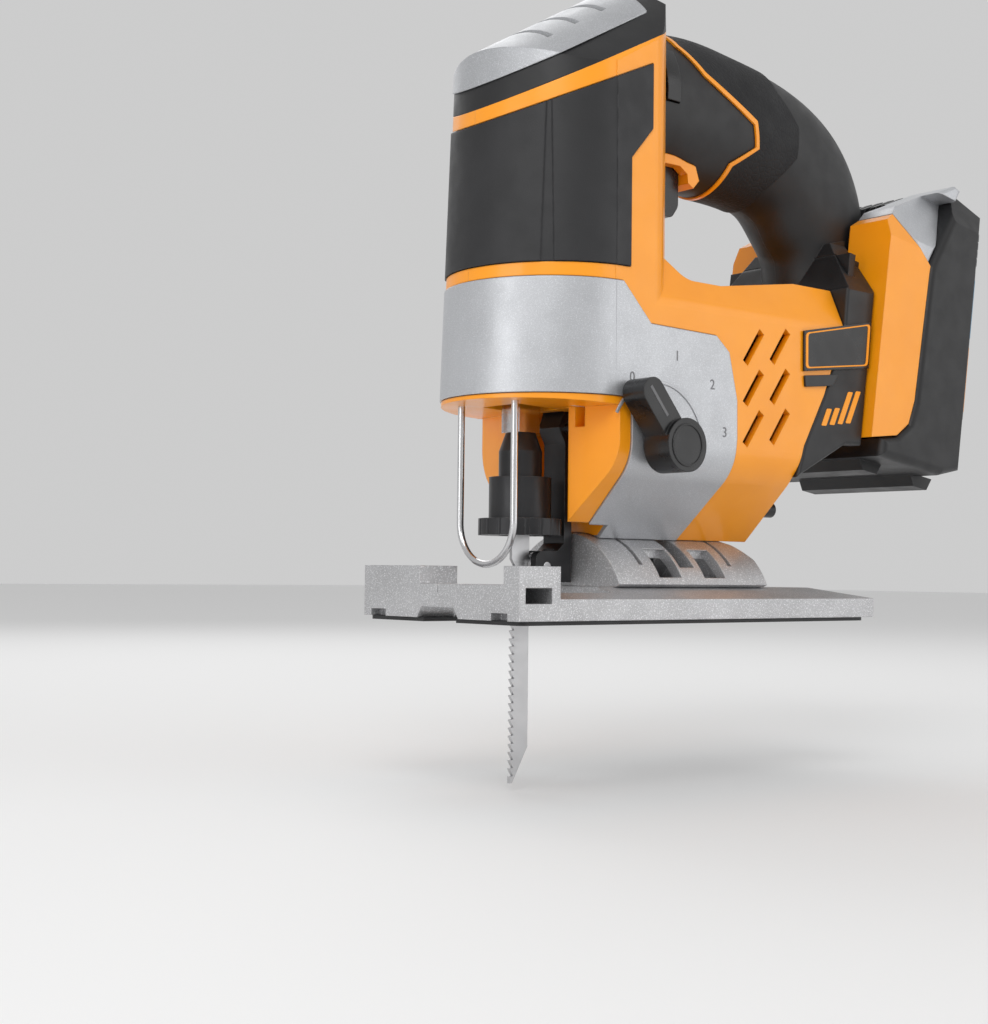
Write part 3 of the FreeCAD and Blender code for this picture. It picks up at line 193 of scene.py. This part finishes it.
MATERIALS = {
    "yellow_shell": surface("yellow_shell", YELLOW, 0.34, bump=0.006, patches=0.05,
                            wear=(1.0, 0.52, 0.12), coat=0.25),
    "black_grained": surface("black_grained", BLACK, 0.46, grain=3200.0, bump=0.03,
                             patches=0.25, wear=(0.10, 0.10, 0.105)),
    "black_smooth": surface("black_smooth", shade(BLACK, 0.8), 0.28, bump=0.008,
                            patches=0.2, wear=(0.09, 0.09, 0.095)),
    "soft_rubber": surface("soft_rubber", shade(BLACK, 1.25), 0.62, grain=1500.0, bump=0.03,
                           patches=0.2, weave=0.09, edge=0.7, specular=0.35),
    "pad_rubber": surface("pad_rubber", shade(BLACK, 1.6), 0.52, grain=3000.0, bump=0.035,
                          patches=0.22, edge=0.7, wear=(0.09, 0.09, 0.10)),
    "silver_paint": surface("silver_paint", SILVER, 0.40, metallic=0.55, grain=2600.0,
                            bump=0.008, patches=0.05, flakes=0.5, wear=(0.80, 0.80, 0.80)),
    "plate_paint": surface("plate_paint", shade(SILVER, 0.85), 0.42, metallic=0.5,
                           grain=2200.0, bump=0.014, patches=0.07, flakes=0.6,
                           wear=(0.75, 0.75, 0.75)),
    "cast_alloy": surface("cast_alloy", (0.50, 0.50, 0.51), 0.48, metallic=0.75,
                          grain=1500.0, bump=0.05, patches=0.12, flakes=0.8,
                          wear=(0.86, 0.86, 0.86), wear_amount=0.6),
    "bright_steel": surface("bright_steel", (0.66, 0.66, 0.67), 0.18, metallic=1.0,
                            grain=900.0, bump=0.004, patches=0.08, edge=0.25,
                            stretch=(1.0, 1.0, 0.05)),
    "blade_steel": surface("blade_steel", (0.56, 0.56, 0.57), 0.36, metallic=0.9,
                           grain=1200.0, bump=0.006, patches=0.12, edge=0.12,
                           wear=(0.85, 0.85, 0.85), stretch=(1.0, 1.0, 0.08)),
    "dark_steel": surface("dark_steel", (0.035, 0.035, 0.037), 0.36, metallic=0.6,
                          grain=1600.0, bump=0.015, patches=0.3, edge=0.35,
                          wear=(0.30, 0.30, 0.30), wear_amount=0.5),
    "copper": surface("copper", (0.55, 0.20, 0.08), 0.34, metallic=0.9, grain=1400.0,
                      bump=0.03, edge=0.2),
    "bronze": surface("bronze", (0.52, 0.34, 0.14), 0.42, metallic=0.8, grain=1600.0,
                      bump=0.02, edge=0.3),
    "circuit": surface("circuit", (0.02, 0.12, 0.05), 0.42, grain=1200.0, bump=0.02, edge=0.2),
    "wrap": surface("wrap", (0.05, 0.14, 0.30), 0.30, grain=900.0, bump=0.01, edge=0.3),
    "inner_grey": surface("inner_grey", (0.08, 0.08, 0.085), 0.50, grain=2000.0, bump=0.02),
    "lens": surface("lens", (0.80, 0.84, 0.88), 0.12, grain=900.0, bump=0.002, edge=0.2,
                    coat=0.6),
    "orange_print": surface("orange_print", YELLOW, 0.42, grain=3000.0, bump=0.004,
                            patches=0.05, edge=0.1),
    "blue_print": surface("blue_print", (0.03, 0.30, 0.55), 0.40, grain=3000.0, bump=0.004,
                          patches=0.06, edge=0.1),
    "grey_print": surface("grey_print", (0.14, 0.14, 0.145), 0.46, grain=3000.0,
                          bump=0.006, patches=0.1, edge=0.1),
    "engraving": surface("engraving", (0.22, 0.22, 0.23), 0.55, grain=2000.0, bump=0.01,
                         edge=0.1),
}

FINISH = {
    "yellow_shell": ["housing_left", "housing_right", "grip_piping", "trigger_bezel",
                     "battery_case"],
    "black_grained": ["handle_left", "handle_right", "head_cap", "battery_cover",
                      "battery_rail", "sole_cover"],
    "black_smooth": ["trigger", "lock_off_button", "selector_knob", "release_button",
                     "name_plate"],
    "soft_rubber": ["handle_grip"],
    "pad_rubber": ["head_pad"],
    "silver_paint": ["gear_case_cover", "battery_top"],
    "plate_paint": ["top_plate"],
    "cast_alloy": ["shoe", "bevel_bracket", "gear_plate"],
    "bright_steel": ["wire_guard", "plunger", "motor_can", "motor_bearings", "rocker_pin",
                     "roller_pin", "guide_roller", "trigger_spring", "armature",
                     "motor_shaft", "pinion", "drive_gear", "crank_pin", "counterweight",
                     "scotch_yoke", "clamp_spring", "selector_shaft"],
    "blade_steel": ["blade"],
    "dark_steel": ["clamp_body", "clamp_collar", "orbital_rocker", "bevel_screw", "hex_key",
                   "housing_screws", "motor_magnets"],
    "copper": ["windings_and_commutator"],
    "bronze": ["plunger_bushes"],
    "circuit": ["control_board", "battery_board"],
    "wrap": ["battery_cells"],
    "inner_grey": ["switch_module", "terminal_block", "cooling_fan", "brushes",
                   "cell_frames"],
    "lens": ["led_lens"],
}

for finish, names in FINISH.items():
    for name in names:
        mesh_object = NODES[name]
        if not mesh_object.material_slots:
            mesh_object.data.materials.append(MATERIALS[finish])
        for material_slot in mesh_object.material_slots:
            material_slot.material = MATERIALS[finish]

# ---------------------------------------------------------------- detail pieces


def piece(name, mesh, finish, body, bevel=0.15):
    made = bpy.data.objects.new(name, mesh)
    bpy.context.collection.objects.link(made)
    mesh.materials.append(MATERIALS[finish])
    if bevel:
        rounding = made.modifiers.new("rounding", "BEVEL")
        rounding.width = bevel * MM
        rounding.segments = 2
        rounding.limit_method = "ANGLE"
    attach(made, body)
    return made


def rounded(corners, radius, steps=5):
    """The outline with each corner replaced by a short curve."""
    points = []
    count = len(corners)
    for index in range(count):
        here = Vector(corners[index])
        before = Vector(corners[index - 1])
        after = Vector(corners[(index + 1) % count])
        first = here + (before - here).normalized() * radius
        last = here + (after - here).normalized() * radius
        for step in range(steps + 1):
            t = step / steps
            points.append(tuple(first * (1 - t) ** 2 + here * 2 * t * (1 - t) + last * t * t))
    return points


def slab(name, loops, near, far, finish, body="tool", slot="handle_black", bevel=0.15):
    """A flat piece in the XZ plane (mm) between two Y values. A second loop is a hole."""
    shape = bmesh.new()
    rings = []
    for y in (near, far):
        rings.append([[shape.verts.new((x * MM, y * MM, z * MM)) for x, z in loop]
                      for loop in loops])
    for index, loop in enumerate(loops):
        count = len(loop)
        for step in range(count):
            after = (step + 1) % count
            shape.faces.new((rings[0][index][step], rings[0][index][after],
                             rings[1][index][after], rings[1][index][step]))
    for side in rings:
        if len(loops) == 1:
            shape.faces.new(side[0])
        else:
            count = len(loops[0])
            for step in range(count):
                after = (step + 1) % count
                shape.faces.new((side[0][step], side[0][after], side[1][after], side[1][step]))
    bmesh.ops.recalc_face_normals(shape, faces=shape.faces)
    mesh = bpy.data.meshes.new(name)
    shape.to_mesh(mesh)
    shape.free()
    return piece(name, mesh, finish, body, bevel)


LEAN = math.radians(8.5)
BATTERY_X = 128.6
BATTERY_Z = 70.3


def leaning(points):
    """Outline points in the battery's own frame, put into the leaning place."""
    return [(BATTERY_X + u * math.cos(LEAN) + w * math.sin(LEAN),
             BATTERY_Z - u * math.sin(LEAN) + w * math.cos(LEAN)) for u, w in points]


def arc(centre, radius, start, stop, steps):
    return [(centre[0] + radius * math.cos(math.radians(start + (stop - start) * k / steps)),
             centre[1] + radius * math.sin(math.radians(start + (stop - start) * k / steps)))
            for k in range(steps + 1)]


# selector scale: a raised crescent and the numbers 0 to 3
KNOB = (27.0, 54.0)
cover_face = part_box("gear_case_cover")[0].y / MM
crescent = arc(KNOB, 20.6, 8.0, 152.0, 40) + arc(KNOB, 19.6, 152.0, 8.0, 40)
slab("scale_crescent", [crescent], cover_face - 0.35, cover_face + 0.2, "silver_paint",
     slot="silver_paint", bevel=0.1)
for text, (x, z) in {"0": (14.6, 73.2), "1": (34.0, 81.4), "2": (50.0, 73.8),
                     "3": (55.8, 59.0)}.items():
    numeral = bpy.data.curves.new(f"scale_number_{text}", "FONT")
    numeral.body = text
    numeral.size = 4.6 * MM
    numeral.extrude = 0.05 * MM
    numeral.materials.append(MATERIALS["engraving"])
    mark = bpy.data.objects.new(f"scale_number_{text}", numeral)
    bpy.context.collection.objects.link(mark)
    mark.rotation_euler = (math.pi / 2, 0.0, 0.0)
    mark.location = (x * MM, (cover_face - 0.05) * MM, z * MM)
    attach(mark, "tool")

# the knob's pointer line and the ring on its face
POINTER_ANGLE = math.radians(130.0)
POINTER_DEPTHS = (-44.62, -44.3)
RING_DEPTHS = (-46.25, -45.8)
pointer_direction = Vector((math.cos(POINTER_ANGLE), math.sin(POINTER_ANGLE)))
pointer_side = Vector((-pointer_direction.y, pointer_direction.x))
pointer = [tuple(Vector(KNOB) + pointer_direction * along + pointer_side * across)
           for along, across in ((11.0, -0.5), (22.0, -0.5), (22.0, 0.5), (11.0, 0.5))]
slab("knob_pointer", [pointer], *POINTER_DEPTHS, "grey_print", body="selector", bevel=0.05)
slab("knob_ring", [arc(KNOB, 6.6, 0.0, 354.0, 59), arc(KNOB, 5.9, 0.0, 354.0, 59)],
     *RING_DEPTHS, "black_smooth", body="selector", bevel=0.08)

# the frame on the blank name plate
plate_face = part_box("name_plate")[0].y / MM
PLATE = [(96.2, 96.6), (96.2, 84.5), (129.4, 88.4), (130.9, 103.2)]
middle = Vector((sum(a for a, b in PLATE) / 4, sum(b for a, b in PLATE) / 4))
inner_plate = [tuple(middle + (Vector(corner) - middle) * 0.93) for corner in PLATE]
slab("name_plate_frame", [rounded(PLATE, 1.6), rounded(inner_plate, 1.3)],
     plate_face - 0.15, plate_face + 0.1, "orange_print", slot="housing_yellow", bevel=0.05)

# slanted stripes on the black triangle behind the vents: where each starts, and its height
STRIPES = ((105.2, 6.0), (109.5, 6.0), (113.8, 11.5), (118.1, 11.5))
STRIPE_WIDTH = 2.6
STRIPE_FOOT = 66.0
mount_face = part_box("handle_left")[0].y / MM
for index, (x, height) in enumerate(STRIPES):
    z = STRIPE_FOOT + 0.13 * (x - STRIPES[0][0])
    stripe = [(x, z), (x + STRIPE_WIDTH, z), (x + STRIPE_WIDTH + 0.5 * height, z + height),
              (x + 0.5 * height, z + height)]
    slab(f"body_stripe_{index}", [rounded(stripe, 0.5)], mount_face - 0.15,
         mount_face + 0.1, "orange_print", slot="housing_yellow", bevel=0.05)

# the blank strip under the name plate
STRIP = [(96.0, 82.2), (96.4, 78.4), (110.8, 79.9), (113.6, 84.0)]
slab("name_plate_strip", [rounded(STRIP, 0.6)], plate_face + 0.1, plate_face + 1.0,
     "black_smooth", bevel=0.05)

# battery: plain colour blocks and stacked vents on the cover's two slanted side faces.
# From the main camera the near face is seen edge-on, so they show only from other sides.
EDGE_START = Vector((49.0, 38.69))
EDGE_END = Vector((70.0, 24.25))
EDGE_RUN = (EDGE_END - EDGE_START).normalized()
EDGE_OUT = Vector((-EDGE_RUN.y, EDGE_RUN.x))


def edge_plate(name, outline, finish, side, sunk, proud):
    """A thin plate on a slanted face. The outline runs along the face and up it, in mm."""
    shape = bmesh.new()
    rings = []
    for depth in (-sunk, proud):
        ring = []
        for along, up in outline:
            u, y = EDGE_START + EDGE_RUN * along + EDGE_OUT * depth
            x, z = leaning([(u, up)])[0]
            ring.append(shape.verts.new((x * MM, side * y * MM, z * MM)))
        rings.append(ring)
    for step in range(len(outline)):
        after = (step + 1) % len(outline)
        shape.faces.new((rings[0][step], rings[0][after], rings[1][after], rings[1][step]))
    for ring in rings:
        shape.faces.new(ring)
    bmesh.ops.recalc_face_normals(shape, faces=shape.faces)
    mesh = bpy.data.meshes.new(name)
    shape.to_mesh(mesh)
    shape.free()
    piece(name, mesh, finish, "battery", 0.05)


BLOCKS = (("dark", "grey_print", [(2.4, 12.0), (10.6, 12.0), (13.4, 68.0), (5.2, 68.0)]),
          ("blue", "blue_print", [(7.6, 43.0), (11.0, 43.0), (12.1, 65.5), (8.7, 65.5)]),
          ("orange", "orange_print", [(6.1, 14.5), (9.5, 14.5), (10.7, 39.0), (7.3, 39.0)]))
VENT_LOW = 71.5
VENT_STEP = 3.2
VENT_SPAN = (6.5, 13.0)
for tag, side in (("near", -1), ("far", 1)):
    for label, colour, outline in BLOCKS:
        sunk, proud = (0.2, 0.12) if label == "dark" else (0.1, 0.22)
        edge_plate(f"battery_{label}_block_{tag}", rounded(outline, 0.8), finish=colour,
                   side=side, sunk=sunk, proud=proud)
    for index in range(4):
        low = VENT_LOW + VENT_STEP * index
        vent = [(VENT_SPAN[0], low), (VENT_SPAN[1], low + 0.5), (VENT_SPAN[1], low + 1.9),
                (VENT_SPAN[0], low + 1.4)]
        edge_plate(f"battery_vent_{tag}_{index}", rounded(vent, 0.4), "grey_print", side,
                   sunk=0.2, proud=0.25)

# ---------------------------------------------------------------- floor and light

FLOOR_Z = -0.0525
FLOOR_REACH = 6.0
floor_mesh = bpy.data.meshes.new("floor")
floor_corners = [(-FLOOR_REACH, -FLOOR_REACH, FLOOR_Z), (FLOOR_REACH, -FLOOR_REACH, FLOOR_Z),
                 (FLOOR_REACH, FLOOR_REACH, FLOOR_Z), (-FLOOR_REACH, FLOOR_REACH, FLOOR_Z)]
floor_mesh.from_pydata(floor_corners, [], [(0, 1, 2, 3)])
floor = bpy.data.objects.new("floor", floor_mesh)
bpy.context.collection.objects.link(floor)
pale = bpy.data.materials.new("pale_floor")
pale.use_nodes = True
pale.node_tree.nodes["Principled BSDF"].inputs["Base Color"].default_value = (0.86, 0.86, 0.86, 1)
pale.node_tree.nodes["Principled BSDF"].inputs["Roughness"].default_value = 0.9
floor_mesh.materials.append(pale)

world = bpy.data.worlds.new("studio")
world.use_nodes = True
world.node_tree.nodes["Background"].inputs["Color"].default_value = (0.98, 0.98, 0.98, 1)
world.node_tree.nodes["Background"].inputs["Strength"].default_value = 0.62
bpy.context.scene.world = world
bpy.context.scene.view_settings.view_transform = "Standard"

TARGET = Vector((0.07, 0.0, 0.09))
LAMPS = (("key", (-0.75, -0.75, 0.95), 0.7, 6.0),
         ("fill", (0.75, -0.95, 0.35), 0.9, 2.4),
         ("rim", (0.35, 0.85, 0.85), 0.8, 3.2),
         ("front", (-1.0, -0.1, 0.25), 0.5, 1.5))
for name, spot, size, power in LAMPS:
    lamp = bpy.data.lights.new(name, "AREA")
    lamp.size = size
    lamp.energy = power
    holder = bpy.data.objects.new(name, lamp)
    bpy.context.collection.objects.link(holder)
    holder.location = spot
    holder.rotation_euler = (TARGET - Vector(spot)).to_track_quat("-Z", "Y").to_euler()
